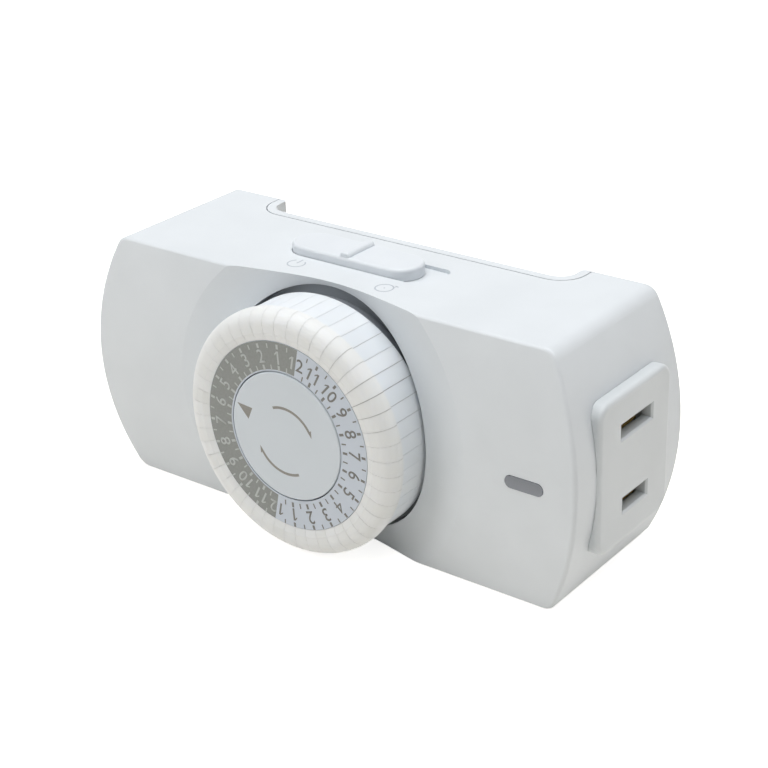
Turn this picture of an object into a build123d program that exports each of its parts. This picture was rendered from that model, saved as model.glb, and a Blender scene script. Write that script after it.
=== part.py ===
from build123d import *
import os
from math import asin, atan2, cos, degrees, hypot, pi, radians, sin, sqrt, tan

# Plug-in mechanical timer switch for a two-blade wall outlet, with an outlet in each end.
# Frame: +X along the housing, +Z up, -Y is the dial side and +Y points into the wall.
# The origin is midway between the two plug blades, on the floor of the wall-plate recess.
# All lengths are millimetres, all angles degrees.

# ---- housing -------------------------------------------------------------------------
half_height = 21.8          # flat top and bottom
half_length = 48.45         # at mid height, where the bulged ends stand furthest out
end_radius = 45.8           # bulge of the ends, seen from the front
corner_radius = 2.6         # where the flat top and bottom meet the ends
front_edge_y = -24.0        # front face along its top and bottom edges
crown = 2.3                 # how far the front face bulges forward at mid height
rear_y = 4.9                # rear face of the housing's two feet
wall = 2.0
front_fillet = 0.65
slip = 0.1                  # clearance of a part that drops into another

# ---- scoop and well for the dial -----------------------------------------------------
well_radius = 20.95
scoop_radius = 28.7         # where the scoop runs out on the front face
well_rim_crown = 4.54       # how much further back the well rim lies at top and bottom
well_rim_y = -25.2          # well rim at mid height
collar_rear_y = -18.9       # rear end of the tube behind the well rim
well_rear_y = -17.0         # how far back the well is cut into the top and bottom walls

# ---- recess for the wall plate -------------------------------------------------------
recess_end_width = 18.2      # from the recess to the bulge's tip
recess_shoulder = 6.0       # reach of the outline past the recess, open to the rear
recess_floor_y = 0.0
recess_inner_radius = 2.9
recess_lip_radius = 0.8
cover_seam = 0.2            # joint between the housing and the cover
cover_thickness = 1.6
wing_thickness = 2.4

# ---- dial ----------------------------------------------------------------------------
hours = 24
trippers_per_hour = 2
dial_turn = 12.0            # the twelve at the top is turned this far towards +X
tripper_gap = 0.03
tripper_travel = 2.5
lip_inner_radius = 16.06
plate_slip = 0.06           # between the number plate and the lip
skirt_gap = 0.25            # between the drum's neck and the lip
lip_outer_radius = 20.85
lip_front_y = -33.8
lip_inner_front_y = -33.5
lip_crest = 1.2             # from the lip's inner edge to where it stands furthest forward
lip_thickness = 1.9
lip_round = 2.5
strip_radius = 20.3
strip_thickness = 0.9
flange_gap = 0.16           # between the drum's rear flange and the well
strip_rear_y = -23.0
finger_radius = 18.0        # middle of the finger that slides in the drum
finger_depth = 1.0
finger_width = 1.1
finger_rear_y = -17.6
finger_slip = 0.1
drum_rim_radius = 19.15
neck_wall = 1.6             # tube between the drum's front web and its rim
drum_rear_y = -17.3
drum_web_thickness = 2.6
drum_recess_gap = 0.25      # behind the fixed centre disc and the clip
drum_hub_radius = 6.0
number_plate_front_y = -33.55
number_plate_thickness = 1.0
number_plate_inner_radius = 11.05

# ---- fixed post and centre disc ------------------------------------------------------
post_radius = 3.4
running_slip = 0.05
disc_radius = 10.86
disc_front_y = -33.67
disc_thickness = 1.47
disc_stem_radius = 1.6
disc_stem_length = 3.85
disc_edge_round = 0.25
clip_thickness = 0.6
clip_radius = 5.0
clip_groove_radius = 2.7

# ---- gear train ----------------------------------------------------------------------
gear_module = 0.4
dial_teeth = 60
small_teeth = 12
large_teeth = 48
motor_teeth = 10
backlash = 0.12
dial_gear_thickness = 1.6
large_gear_thickness = 1.0
gear_gap = 0.9              # between the dial gear and the large wheel behind it
shoulder_width = 0.8        # step on the post that the dial gear runs against
pocket_radius = 2.2         # lightening holes in the dial gear
gear_axle_radius = 0.9
motor_shaft_radius = 0.75
motor_share = 199 / 294     # the motor's place between the dial axis and the chassis end
motor_z = -8.0
motor_radius = 8.2
motor_depth = 8.0

# ---- chassis -------------------------------------------------------------------------
chassis_front_y = -13.5
chassis_thickness = 1.5
chassis_end_gap = 3.1       # between the chassis and an outlet's carrier
chassis_half_height = 18.2
chassis_corner = 3.0
boss_inset = 2.4            # from the chassis end to its screws
boss_z = 16.0
boss_radius = 2.6
screw_radius = 1.2
screw_slip = 0.05
screw_head_radius = 2.1
screw_head_height = 1.3
chassis_screw_length = 7.0
cover_screw_inset = 11.45
cover_screw_z = 16.3
cover_screw_length = 11.0

# ---- follower, contacts and override slider ------------------------------------------
follower_x = -17.0
follower_width = 3.0
follower_thickness = 1.8
follower_gap = 0.4          # between the chassis and the follower
follower_foot_z = 4.6
follower_head_z = 18.3
follower_pivot_z = 12.0
follower_pin_radius = 0.8
follower_swing = 11.0
nose_z = 5.2                # swings up to meet the gap between two fingers
nose_width = 0.8
nose_height = 0.8
nose_reach = 2.9            # how far the nose stands out towards the dial
ear_thickness = 1.3
spring_wire = 0.35
spring_turns = 3
leaf_thickness = 0.4
leaf_width = 3.0
leaf_gap = 0.2
leaf_root_z = -8.0
leaf_top_z = 6.4
contact_radius = 1.3
contact_height = 0.6
contact_gap = 0.12
fixed_contact_thickness = 0.6

slider_length = 25.1
slider_width = 7.5
slider_centre_x = -2.45
slider_centre_y = -10.75
slider_rise = 1.45
slider_travel = 3.6
slider_slip = 0.15
slider_flange = 0.9         # how far the hidden flange reaches past the slider's sides
slider_flange_thickness = 0.9
slider_top_round = 0.5
slider_pocket = 0.6         # depth of the shallow hollow that the slider's cap runs in
slider_pocket_corner = 1.6
slider_stem_length = 11.0
slider_stem_width = 4.5
slider_spring_length = 9.0
slider_spring_foot = 1.8
slider_spring_inset = 1.5   # from the cam's end to the spring
slider_spring_bend = 0.9    # how far the spring's middle bows towards the cam
rib_width = 1.9
rib_height = 0.7
rib_round = 0.62
cam_height = 3.1
cam_length = 11.5
cam_left_x = -19.6

# ---- plug, outlets and wiring --------------------------------------------------------
blade_spacing = 12.7
blade_thickness = 1.5
neutral_blade_width = 7.9
hot_blade_width = 6.35
blade_length = 17.0
blade_tip_taper = 1.2
blade_tail = 7.0
holder_half_length = 10.5
holder_half_height = 5.5
holder_depth = 4.4

pad_stand = 0.55            # how far the pad's face stands out past the bulge's tip
pad_y = -10.2
pad_width = 20.8
pad_height = 25.2
pad_corner = 2.6
pad_face_round = 0.8
pad_seam = 0.06
neck_inset = 1.2            # the neck is this much smaller than the pad, all round
carrier_depth = 15.95       # from the bulge's tip to the carrier's inner end
carrier_half_width = 6.4
carrier_half_height = 11.6
outlet_y = -9.9
outlet_spacing = 12.7
neutral_slot_width = 9.1
hot_slot_width = 7.2
slot_height = 2.4
slot_floor = 1.8            # thickness of the outlet's face
slot_bevel = 0.3
pocket_half_height = 2.6
clip_width = 6.6
clip_sheet = 0.4
clip_half_gap = 0.95
clip_tail = 2.3
bus_thickness = 0.6
bus_half_height = 1.8
bus_z = 7.6
bus_y = -3.2

# ---- indicator -----------------------------------------------------------------------
lens_inset = 8.95
lens_length = 6.7
lens_height = 2.1
lens_slip = 0.05
lens_stand = 0.08
lamp_length = 4.6
lamp_depth = 1.6
board_thickness = 0.8
board_half_length = 5.8
board_half_height = 6.0

# ---- worked out from the sizes above -------------------------------------------------
crown_radius = (half_height**2 + crown**2) / (2 * crown)
front_y = front_edge_y - crown
recess_half_width = half_length - recess_end_width
pad_face_x = half_length + pad_stand
carrier_inner_x = half_length - carrier_depth
lens_x = half_length - lens_inset
cover_screw_x = half_length - cover_screw_inset
chassis_half_length = carrier_inner_x - chassis_end_gap
boss_x = chassis_half_length - boss_inset
motor_x = motor_share * chassis_half_length
tripper_count = hours * trippers_per_hour
tripper_angle = 360 / tripper_count
chassis_rear_y = chassis_front_y + chassis_thickness
lip_rear_y = lip_front_y + lip_thickness
drum_front_y = number_plate_front_y + number_plate_thickness
drum_flange_y = lip_rear_y + tripper_travel + 0.3
dial_radius = gear_module * dial_teeth / 2
small_radius = gear_module * small_teeth / 2
large_radius = gear_module * large_teeth / 2
motor_pinion_radius = gear_module * motor_teeth / 2
dial_gear_front_y = drum_rear_y
dial_gear_rear_y = dial_gear_front_y + dial_gear_thickness
large_gear_y = dial_gear_rear_y + gear_gap
follower_front_y = chassis_rear_y + follower_gap
follower_rear_y = follower_front_y + follower_thickness
leaf_y = follower_rear_y + leaf_gap
slider_bottom_z = half_height - wall - slip - slider_flange_thickness


def box(x0, x1, y0, y1, z0, z1):
    return Pos((x0 + x1) / 2, (y0 + y1) / 2, (z0 + z1) / 2) * Box(x1 - x0, y1 - y0, z1 - z0)


def rod_y(radius, x, z, y0, y1):
    """Cylinder along Y."""
    rod = Cylinder(radius, y1 - y0, align=(Align.CENTER, Align.CENTER, Align.MIN))
    return Pos(x, y0, z) * Rot(-90, 0, 0) * rod


def rod_x(radius, y, z, x0, x1):
    """Cylinder along X."""
    rod = Cylinder(radius, x1 - x0, align=(Align.CENTER, Align.CENTER, Align.MIN))
    return Pos(x0, y, z) * Rot(0, 90, 0) * rod


def along_y(face, y0, y1):
    """Push a face drawn in X and Z from y0 to y1."""
    return extrude(Plane.XZ.offset(-y0) * face, -(y1 - y0))


def along_x(face, x0, x1):
    """Push a face drawn in Y and Z from x0 to x1."""
    return extrude(Plane.YZ.offset(x0) * face, x1 - x0)


def along_z(face, z0, z1):
    """Push a face drawn in X and Y from z0 to z1."""
    return extrude(Plane.XY.offset(z0) * face, z1 - z0)


def both_sides(shape):
    """The shape and its mirror image at the other end of the housing."""
    return shape + mirror(shape, about=Plane.YZ)


def front_outline(inset):
    """Outline of the housing seen from the front, moved inwards by inset."""
    height = half_height - inset
    radius = end_radius - inset
    centre_x = half_length - end_radius
    corner_x = centre_x + sqrt(radius**2 - height**2)
    tip_x = half_length - inset
    edges = [
        Line((-corner_x, height), (corner_x, height)),
        ThreePointArc((corner_x, height), (tip_x, 0), (corner_x, -height)),
        Line((corner_x, -height), (-corner_x, -height)),
        ThreePointArc((-corner_x, -height), (-tip_x, 0), (-corner_x, height)),
    ]
    face = make_face(edges)
    return fillet(face.vertices(), max(corner_radius - inset, 0.4))


def side_profile(inset, rear):
    """Side view of the housing: crowned front, flat top and bottom."""
    height = half_height - inset
    radius = crown_radius - inset
    apex_y = front_y + inset
    edge_y = front_y + crown_radius - sqrt(radius**2 - height**2)
    edges = [
        ThreePointArc((edge_y, height), (apex_y, 0), (edge_y, -height)),
        Line((edge_y, -height), (rear, -height)),
        Line((rear, -height), (rear, height)),
        Line((rear, height), (edge_y, height)),
    ]
    return make_face(edges)


def housing_form(inset, rear):
    """Solid that fills the housing's outer form, moved inwards by inset."""
    prism = along_y(front_outline(inset), front_y, rear)
    return prism & along_x(side_profile(inset, rear), -half_length, half_length)


def scoop_cutter(grow, rear):
    """Space in front of the scoop and inside the well, made larger by grow."""
    inner = well_radius + grow
    outer = scoop_radius + grow
    ahead = front_y - 5

    def rim_y(z):
        return well_rim_y + grow + well_rim_crown * (z / inner) ** 2

    def face_y(z):
        return front_y + grow + z**2 / (2 * crown_radius)

    def ring(radius, height_at):
        spots = [2 * pi * i / 48 for i in range(48)]
        points = [(radius * sin(a), height_at(radius * cos(a)), radius * cos(a)) for a in spots]
        return Edge.make_spline([Vector(*p) for p in points], periodic=True)

    rings = [
        ring(outer, lambda z: ahead),
        ring(outer, face_y),
        ring(inner, rim_y),
        ring(inner, lambda z: rear),
    ]
    sides = [Face.make_surface_from_curves(a, b) for a, b in zip(rings, rings[1:])]
    caps = [Face(Wire([rings[0]])), Face(Wire([rings[-1]]))]
    return Solid(Shell(sides + caps))


def recess_outline(half_width, floor_y, inner_radius, lip_radius):
    """Plan of the wall-plate recess, open to the rear."""
    open_y = rear_y + 3
    shoulder = half_width + recess_shoulder
    points = [
        (-shoulder, open_y), (-shoulder, rear_y), (-half_width, rear_y), (-half_width, floor_y),
        (half_width, floor_y), (half_width, rear_y), (shoulder, rear_y), (shoulder, open_y),
    ]
    face = make_face(Polyline(*points, close=True))
    inner = [v for v in face.vertices() if abs(v.Y - floor_y) < 0.01]
    face = fillet(inner, inner_radius)
    lips = [v for v in face.vertices() if abs(v.Y - rear_y) < 0.01 and abs(abs(v.X) - half_width) < 0.01]
    return fillet(lips, lip_radius)


def cover_notch(grow):
    """Plan of the notch in the housing that the cover's dished middle fills."""
    step = cover_thickness + grow
    return recess_outline(recess_half_width + step, recess_floor_y - step, recess_inner_radius + step, 0.4)


def stadium(length, height):
    return SlotOverall(length, height)


def at_corners(x, z):
    return [(sx * x, sz * z) for sx in (-1, 1) for sz in (-1, 1)]


# ---- housing parts -------------------------------------------------------------------
def slider_slot():
    """Shallow hollow in the top wall that the slider's cap runs in, with a slot for its stem."""
    room = slider_travel + 2 * slider_slip
    place = Pos(slider_centre_x + slider_travel / 2, slider_centre_y)
    width = slider_width + 2 * slider_slip
    length = slider_length + room
    hollow = place * stadium(length, width)
    hollow = hollow + place * Pos(length / 4, 0) * RectangleRounded(length / 2, width, slider_pocket_corner)
    slot = place * stadium(slider_stem_length + room, slider_stem_width + 2 * slider_slip)
    hollow = along_z(hollow, half_height - slider_pocket, half_height + 1)
    return hollow + along_z(slot, half_height - wall - 1, half_height)


def outlet_opening():
    width = pad_width - 2 * neck_inset + 2 * slip
    height = pad_height - 2 * neck_inset + 2 * slip
    outline = Pos(pad_y, 0) * RectangleRounded(width, height, pad_corner - neck_inset + slip)
    return along_x(outline, carrier_inner_x, pad_face_x + 1)


def front_housing():
    form = housing_form(0, rear_y)
    rim = [e for e in form.edges() if e.center().Y < front_edge_y + 0.2]
    form = fillet(rim, front_fillet)
    hollow = housing_form(wall, rear_y + 1) - scoop_cutter(wall, collar_rear_y)
    bosses = [rod_y(boss_radius, x, z, front_edge_y + 0.2, chassis_front_y)
              for x, z in at_corners(boss_x, boss_z)]
    wing_front_y = rear_y - wing_thickness
    posts = [rod_y(boss_radius, x, z, front_edge_y + 0.2, wing_front_y)
             for x, z in at_corners(cover_screw_x, cover_screw_z)]
    bore = screw_radius + screw_slip
    holes = [rod_y(bore, x, z, chassis_front_y - chassis_screw_length, chassis_front_y + 1)
             for x, z in at_corners(boss_x, boss_z)]
    holes += [rod_y(bore, x, z, wing_front_y - cover_screw_length, wing_front_y + 1)
              for x, z in at_corners(cover_screw_x, cover_screw_z)]
    shell = form - hollow + bosses + posts
    shell = shell - scoop_cutter(0, well_rear_y) - holes - slider_slot()
    shell = shell - both_sides(outlet_opening())
    lens = Pos(lens_x, 0) * stadium(lens_length + 2 * lens_slip, lens_height + 2 * lens_slip)
    shell = shell - along_y(lens, front_y - 1, front_y + wall + 1)
    notch = cover_notch(cover_seam)
    return shell - along_z(notch, -half_height - 1, half_height + 1)


def back_cover():
    cover = along_z(cover_notch(0), -half_height, half_height)
    cover = cover - box(-half_length, half_length, rear_y, rear_y + 4, -half_height, half_height)
    wings = along_y(front_outline(wall + slip), rear_y - wing_thickness, rear_y)
    cover = cover + wings
    space = recess_outline(recess_half_width, recess_floor_y, recess_inner_radius, recess_lip_radius)
    cover = cover - along_z(space, -half_height - 1, half_height + 1)
    for x, z in at_corners(cover_screw_x, cover_screw_z):
        cover = cover - rod_y(screw_radius + slip, x, z, rear_y - 5, rear_y + 1)
        cover = cover - rod_y(screw_head_radius + slip, x, z, rear_y - screw_head_height - slip, rear_y + 1)
    for x, width in blades():
        cover = cover - blade_box(x, width, -3, 3, slip)
    return cover


def screws(places, head_y, length):
    """Pan-head screws driven towards -Y, with the head's underside at head_y."""
    found = []
    for x, z in places:
        head = rod_y(screw_head_radius, x, z, head_y, head_y + screw_head_height)
        rim = [e for e in head.edges() if e.center().Y > head_y + 0.1]
        head = fillet(rim, 0.4)
        head = head - box(x - 1.4, x + 1.4, head_y + 0.7, head_y + 2, z - 0.25, z + 0.25)
        head = head - box(x - 0.25, x + 0.25, head_y + 0.7, head_y + 2, z - 1.4, z + 1.4)
        found.append(head + rod_y(screw_radius, x, z, head_y - length, head_y))
    return Compound(children=found)


def outlet_insert():
    """Outlet at the +X end: the pad on the end wall, its neck and the contact carrier behind."""
    pad_outline = Pos(pad_y, 0) * RectangleRounded(pad_width, pad_height, pad_corner)
    pad = along_x(pad_outline, half_length - 6, pad_face_x)
    face_rim = [e for e in pad.edges() if e.center().X > pad_face_x - 0.01]
    pad = fillet(face_rim, pad_face_round)
    pad = pad - housing_form(-pad_seam, rear_y)
    neck_width = pad_width - 2 * neck_inset
    neck_height = pad_height - 2 * neck_inset
    neck_outline = Pos(pad_y, 0) * RectangleRounded(neck_width, neck_height, pad_corner - neck_inset)
    neck = along_x(neck_outline, half_length - wall - 2, pad_face_x - pad_face_round / 2)
    carrier = box(carrier_inner_x, half_length - wall - 2, outlet_y - carrier_half_width,
                  outlet_y + carrier_half_width, -carrier_half_height, carrier_half_height)
    insert = pad + neck + carrier
    for z, width in outlet_slots():
        slot = Pos(outlet_y, z) * Rectangle(width, slot_height)
        mouth = Pos(outlet_y, z) * Rectangle(width + 2 * slot_bevel, slot_height + 2 * slot_bevel)
        insert = insert - along_x(slot, pad_face_x - slot_floor - 1, pad_face_x + 1)
        start = Plane.YZ.offset(pad_face_x - slot_bevel) * slot
        end = Plane.YZ.offset(pad_face_x + 0.001) * mouth
        insert = insert - loft([start, end])
        half = neutral_slot_width / 2 + 0.2
        insert = insert - box(carrier_inner_x - 1, pad_face_x - slot_floor, outlet_y - half, outlet_y + half,
                              z - pocket_half_height, z + pocket_half_height)
    return insert


def outlet_slots():
    """Height and width of the two slots: wide neutral above, narrow hot below."""
    return [(outlet_spacing / 2, neutral_slot_width), (-outlet_spacing / 2, hot_slot_width)]


def outlet_clips():
    """Pair of folded spring clips behind the slots at the +X end."""
    clips = []
    mouth_x = pad_face_x - slot_floor - 0.4
    for z, _ in outlet_slots():
        outer = clip_half_gap + clip_sheet
        half = clip_width / 2
        fold = box(carrier_inner_x + 1, mouth_x, outlet_y - half, outlet_y + half, z - outer, z + outer)
        fold = fold - box(carrier_inner_x + 1 + clip_sheet, mouth_x + 1, outlet_y - half - 1,
                          outlet_y + half + 1, z - clip_half_gap, z + clip_half_gap)
        side = 1 if z > 0 else -1
        tail_z = z + side * (clip_half_gap + clip_sheet / 2)
        tail = box(carrier_inner_x - clip_tail, carrier_inner_x + 3, outlet_y - half, outlet_y + half,
                   tail_z - clip_sheet / 2, tail_z + clip_sheet / 2)
        clips.append(fold + tail)
    return Compound(children=clips)


# ---- indicator -----------------------------------------------------------------------
def indicator_lens():
    outline = Pos(lens_x, 0) * stadium(lens_length, lens_height)
    lens = along_y(outline, front_y - lens_stand, front_y + wall + 0.6)
    return lens


def indicator_lamp():
    y = front_y + wall + 0.6 + slip
    dome = box(lens_x - lamp_length / 2, lens_x + lamp_length / 2, y, y + lamp_depth, -1.0, 1.0)
    return fillet(dome.edges().filter_by(Axis.Z), 0.5)


def lamp_board():
    y = front_y + wall + 0.6 + slip + lamp_depth
    board = box(lens_x - board_half_length, lens_x + board_half_length, y, y + board_thickness,
                -board_half_height, board_half_height)
    return fillet(board.edges().filter_by(Axis.Y), 0.8)


def lamp_resistor():
    y = front_y + wall + 0.6 + slip + lamp_depth
    body = rod_x(0.75, y - 0.8, board_half_height - 1.5, lens_x - 2.4, lens_x + 2.4)
    rims = [e for e in body.edges() if e.geom_type == GeomType.CIRCLE]
    return fillet(rims, 0.3)


# ---- dial ----------------------------------------------------------------------------
def dial_place(turn):
    """Turn about the dial axis; positive is clockwise seen from the front."""
    return Rot(0, turn, 0)


def tripper():
    """One half-hour tripper, centred on +X: front lip, side strip and sliding finger."""
    front = lip_inner_radius + lip_crest
    corner_y = lip_front_y
    profile = make_face(Polyline(
        (lip_inner_radius, lip_rear_y), (lip_inner_radius, lip_inner_front_y), (front, corner_y),
        (lip_outer_radius, corner_y), (lip_outer_radius, lip_rear_y + 1.1), (strip_radius, lip_rear_y + 1.5),
        (strip_radius, strip_rear_y), (strip_radius - strip_thickness, strip_rear_y),
        (strip_radius - strip_thickness, lip_rear_y), close=True))
    corner = [v for v in profile.vertices()
              if abs(v.X - lip_outer_radius) < 0.01 and abs(v.Y - corner_y) < 0.01]
    profile = fillet(corner, lip_round)
    sweep = tripper_angle - degrees(tripper_gap / strip_radius)
    body = revolve(profile, Axis.Y, sweep)
    body = Rot(0, -sweep / 2, 0) * body
    half = finger_depth / 2
    finger = box(finger_radius - half, finger_radius + half, lip_rear_y - 0.5, finger_rear_y,
                 -finger_width / 2, finger_width / 2)
    return body + finger


def hour_trippers(hour):
    """The two trippers of one hour; hour 0 starts at the twelve at the top."""
    first = dial_turn - 90 - (hour * trippers_per_hour + 0.5) * tripper_angle
    one = tripper()
    return Compound(children=[dial_place(first - i * tripper_angle) * one for i in range(trippers_per_hour)])


def dial_drum():
    """Drum that carries the trippers, with a channel for each finger."""
    skirt = lip_inner_radius - skirt_gap
    web = rod_y(skirt, 0, 0, drum_front_y, drum_front_y + drum_web_thickness)
    neck_rear_y = drum_rear_y - neck_wall
    neck = rod_y(skirt, 0, 0, drum_front_y, neck_rear_y)
    neck = neck - rod_y(skirt - neck_wall, 0, 0, drum_front_y, neck_rear_y + 1)
    rim = rod_y(drum_rim_radius, 0, 0, drum_flange_y, drum_rear_y)
    rim = rim - rod_y(skirt, 0, 0, drum_flange_y - 1, drum_rear_y + 1)
    flange = rod_y(well_radius - flange_gap, 0, 0, strip_rear_y + tripper_travel + slip, drum_rear_y)
    flange = flange - rod_y(skirt, 0, 0, strip_rear_y, drum_rear_y + 1)
    hub = rod_y(drum_hub_radius, 0, 0, drum_front_y + drum_web_thickness / 2, drum_rear_y)
    drum = web + neck + rim + flange + hub
    half_depth = finger_depth / 2 + finger_slip
    half_width = finger_width / 2 + finger_slip
    channels = []
    for i in range(tripper_count):
        turn = dial_turn - 90 - (i + 0.5) * tripper_angle
        channel = box(finger_radius - half_depth, finger_radius + half_depth, drum_flange_y - 1,
                      drum_rear_y + 1, -half_width, half_width)
        channels.append(dial_place(turn) * channel)
    drum = drum - channels
    disc_recess_y = disc_front_y + disc_thickness + drum_recess_gap
    drum = drum - rod_y(number_plate_inner_radius, 0, 0, drum_front_y - 1, disc_recess_y)
    clip_recess_y = clip_y() + clip_thickness + slip
    drum = drum - rod_y(clip_radius + drum_recess_gap, 0, 0, drum_front_y - 1, clip_recess_y)
    return drum - rod_y(post_radius + running_slip, 0, 0, drum_front_y - 1, drum_rear_y + 1)


def number_plate():
    plate = rod_y(lip_inner_radius - plate_slip, 0, 0, number_plate_front_y, drum_front_y)
    return plate - rod_y(number_plate_inner_radius, 0, 0, number_plate_front_y - 1, drum_front_y + 1)


def gear(teeth, y0, y1, hole_radius):
    """Spur gear about Y with a tooth on +X, straight flanks and a little backlash."""
    pitch = gear_module * teeth / 2
    root = pitch - 1.2 * gear_module
    tip = pitch + 0.85 * gear_module
    half_pitch = (pi * gear_module / 2 - backlash) / 2
    blank = rod_y(root, 0, 0, y0, y1)
    root_half = half_pitch + 1.2 * gear_module * tan(radians(20))
    tip_half = half_pitch - 0.85 * gear_module * tan(radians(20))
    tooth = make_face(Polyline((root - 0.2, root_half), (root, root_half), (tip, tip_half), (tip, -tip_half),
                               (root, -root_half), (root - 0.2, -root_half), close=True))
    tooth = along_y(tooth, y0, y1)
    body = blank + [dial_place(360 * i / teeth) * tooth for i in range(teeth)]
    return body - rod_y(hole_radius, 0, 0, y0 - 1, y1 + 1)


def dial_gear():
    ring = gear(dial_teeth, dial_gear_front_y, dial_gear_rear_y, post_radius + running_slip)
    pockets = []
    for i in range(6):
        hole_x = (drum_hub_radius + dial_radius) / 2 - 0.2
        hole = rod_y(pocket_radius, hole_x, 0, dial_gear_front_y - 1, dial_gear_rear_y + 1)
        pockets.append(dial_place(i * 60 + 30) * hole)
    return ring - pockets


def train_centre():
    """Centre of the compound gear: it meshes with the dial gear and with the motor pinion."""
    reach = dial_radius + small_radius
    step = large_radius + motor_pinion_radius
    span = hypot(motor_x, motor_z)
    bend = (reach**2 + span**2 - step**2) / (2 * reach * span)
    angle = atan2(motor_z, motor_x) + (pi / 2 - asin(bend))
    return reach * cos(angle), reach * sin(angle)


def mesh_turn(teeth, x, z):
    """Turn that puts a tooth gap of a gear so that it faces the direction x, z."""
    facing = -degrees(atan2(z, x))
    return facing + 180 / teeth


def compound_gear():
    x, z = train_centre()
    axle_hole = gear_axle_radius + running_slip
    small = gear(small_teeth, dial_gear_front_y, large_gear_y, axle_hole)
    tooth_offset = degrees(atan2(z, x)) % (360 / dial_teeth)
    small_phase = -tooth_offset * dial_teeth / small_teeth
    small = dial_place(mesh_turn(small_teeth, -x, -z) + small_phase) * small
    large = gear(large_teeth, large_gear_y, large_gear_y + large_gear_thickness, axle_hole)
    large = dial_place(-degrees(atan2(motor_z - z, motor_x - x))) * large
    return Pos(x, 0, z) * (small + large)


def compound_axle():
    x, z = train_centre()
    head = rod_y(gear_axle_radius + 0.4, x, z, dial_gear_front_y - 0.7, dial_gear_front_y - 0.1)
    return head + rod_y(gear_axle_radius, x, z, dial_gear_front_y - 0.2, chassis_rear_y)


def motor_pinion():
    x, z = train_centre()
    teeth = gear(motor_teeth, large_gear_y - 0.5, large_gear_y + large_gear_thickness, 0.05)
    teeth = dial_place(mesh_turn(motor_teeth, x - motor_x, z - motor_z)) * teeth
    shaft_front = large_gear_y - 0.9
    shaft = rod_y(motor_shaft_radius, 0, 0, shaft_front, chassis_rear_y + motor_depth - 1)
    return Pos(motor_x, 0, motor_z) * (teeth + shaft)


def motor_case():
    body = rod_y(motor_radius, motor_x, motor_z, chassis_rear_y, chassis_rear_y + motor_depth)
    rims = [e for e in body.edges() if e.geom_type == GeomType.CIRCLE and e.center().Y > chassis_rear_y + 1]
    body = fillet(rims, 0.8)
    bore = motor_shaft_radius + running_slip
    return body - rod_y(bore, motor_x, motor_z, chassis_rear_y - 1, chassis_rear_y + motor_depth - 0.9)


def motor_terminals():
    """Two solder tabs on the motor case."""
    rear = chassis_rear_y + motor_depth
    tabs = []
    for side in (-1, 1):
        x = motor_x + side * 2.2
        tabs.append(box(x - 0.9, x + 0.9, rear, rear + 0.5, motor_z - 2, motor_z + 3.0))
    return Compound(children=tabs)


def centre_disc():
    disc = rod_y(disc_radius, 0, 0, disc_front_y, disc_front_y + disc_thickness)
    rim = [e for e in disc.edges() if e.center().Y < disc_front_y + 0.01]
    disc = fillet(rim, disc_edge_round)
    stem = rod_y(disc_stem_radius, 0, 0, post_front_y() - 0.1, post_front_y() + disc_stem_length)
    return disc + stem


def post_front_y():
    return disc_front_y + disc_thickness


def clip_y():
    return post_front_y() + 0.3


def drum_clip():
    """C-shaped clip in the post's groove that keeps the drum on the post."""
    ring = rod_y(clip_radius, 0, 0, clip_y(), clip_y() + clip_thickness)
    ring = ring - rod_y(clip_groove_radius + slip, 0, 0, clip_y() - 1, clip_y() + 2)
    return ring - box(-2.0, 2.0, clip_y() - 1, clip_y() + 2, -clip_radius - 1, 0)


def chassis():
    """Gear plate with the fixed post, the follower's ears and the screw holes."""
    outline = RectangleRounded(2 * chassis_half_length, 2 * chassis_half_height, chassis_corner)
    plate = along_y(outline, chassis_front_y, chassis_rear_y)
    post = rod_y(post_radius, 0, 0, post_front_y(), chassis_front_y)
    groove = rod_y(post_radius + 1, 0, 0, clip_y() - slip, clip_y() + clip_thickness + slip)
    groove = groove - rod_y(clip_groove_radius, 0, 0, clip_y() - 1, clip_y() + 2)
    shoulder = rod_y(post_radius + shoulder_width, 0, 0, dial_gear_rear_y + slip, chassis_front_y)
    frame = plate + post + shoulder - groove
    frame = frame - rod_y(disc_stem_radius + slip, 0, 0, disc_front_y - 1, post_front_y() + disc_stem_length + 0.5)
    for side in (-1, 1):
        near = follower_x + side * (follower_width / 2 + 0.25)
        far = near + side * ear_thickness
        ear = box(min(near, far), max(near, far), chassis_rear_y - 0.1, follower_rear_y + 0.6,
                  follower_pivot_z - 1.8, follower_pivot_z + 1.8)
        frame = frame + ear
    frame = frame - rod_x(follower_pin_radius, follower_axis_y(), follower_pivot_z,
                          follower_x - 4, follower_x + 4)
    window = follower_width / 2 + 0.25
    frame = frame - box(follower_x - window, follower_x + window, chassis_front_y - 1, chassis_rear_y + 0.01,
                        follower_foot_z - 0.8, follower_pivot_z - 1.9)
    frame = frame - rod_y(motor_shaft_radius + 0.6, motor_x, motor_z, chassis_front_y - 1, chassis_rear_y + 1)
    x, z = train_centre()
    frame = frame - rod_y(gear_axle_radius, x, z, chassis_front_y - 1, chassis_rear_y + 1)
    for x, z in at_corners(boss_x, boss_z):
        frame = frame - rod_y(screw_radius + slip, x, z, chassis_front_y - 1, chassis_rear_y + 1)
    return frame


# ---- follower and contacts -----------------------------------------------------------
def follower_axis_y():
    return (follower_front_y + follower_rear_y) / 2


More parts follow.
